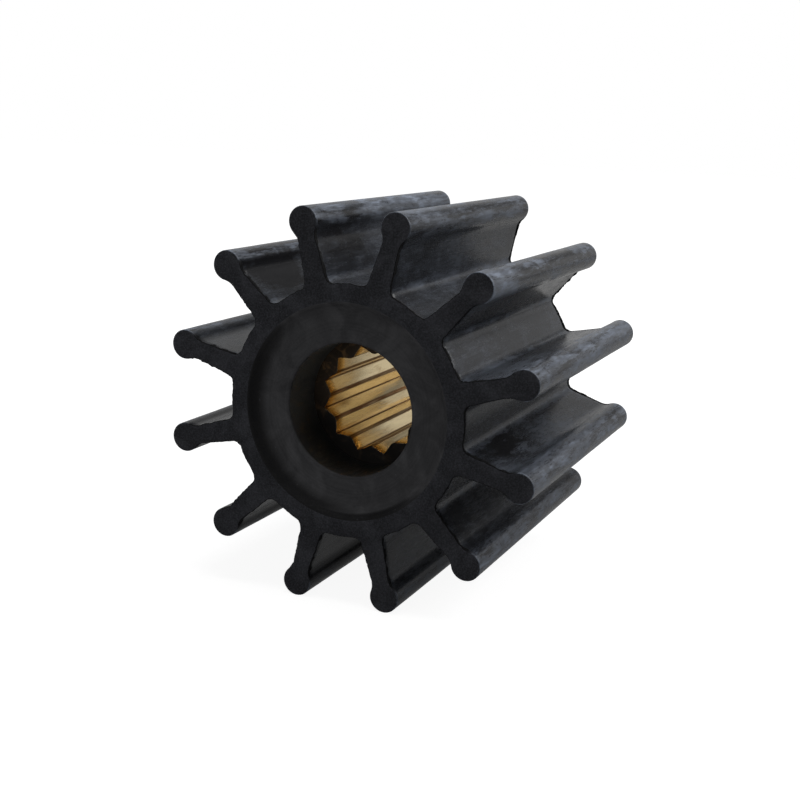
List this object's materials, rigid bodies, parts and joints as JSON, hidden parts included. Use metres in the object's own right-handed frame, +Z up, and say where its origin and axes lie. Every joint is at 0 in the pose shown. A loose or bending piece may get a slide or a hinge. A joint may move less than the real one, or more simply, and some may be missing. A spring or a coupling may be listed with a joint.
{
  "type": "rubber pump impeller",
  "caption": "Flexible pump impeller: straight rubber blades with round beaded tips on a hub moulded round a brass bush with V-shaped splines.",
  "frame": {"origin": "centre of the wheel, on the shaft line half way between its two faces", "axes": "+Y along the shaft line from the front face to the rear face; +Z up as the wheel rests on the beads of its two lowest blades; +X to the right seen from the front"},
  "size_m": [0.0554, 0.0476, 0.0554],
  "materials": {
    "rubber": "moulded black nitrile-like rubber, semi-gloss on the blades with a faint bluish-grey bloom, matt on the faces",
    "brass": "broached brass, satin with fine lines along the splines"
  },
  "bodies": {
    "root": {"rubber_body": "rubber", "spline_insert": "brass"}
  },
  "joints": []
}
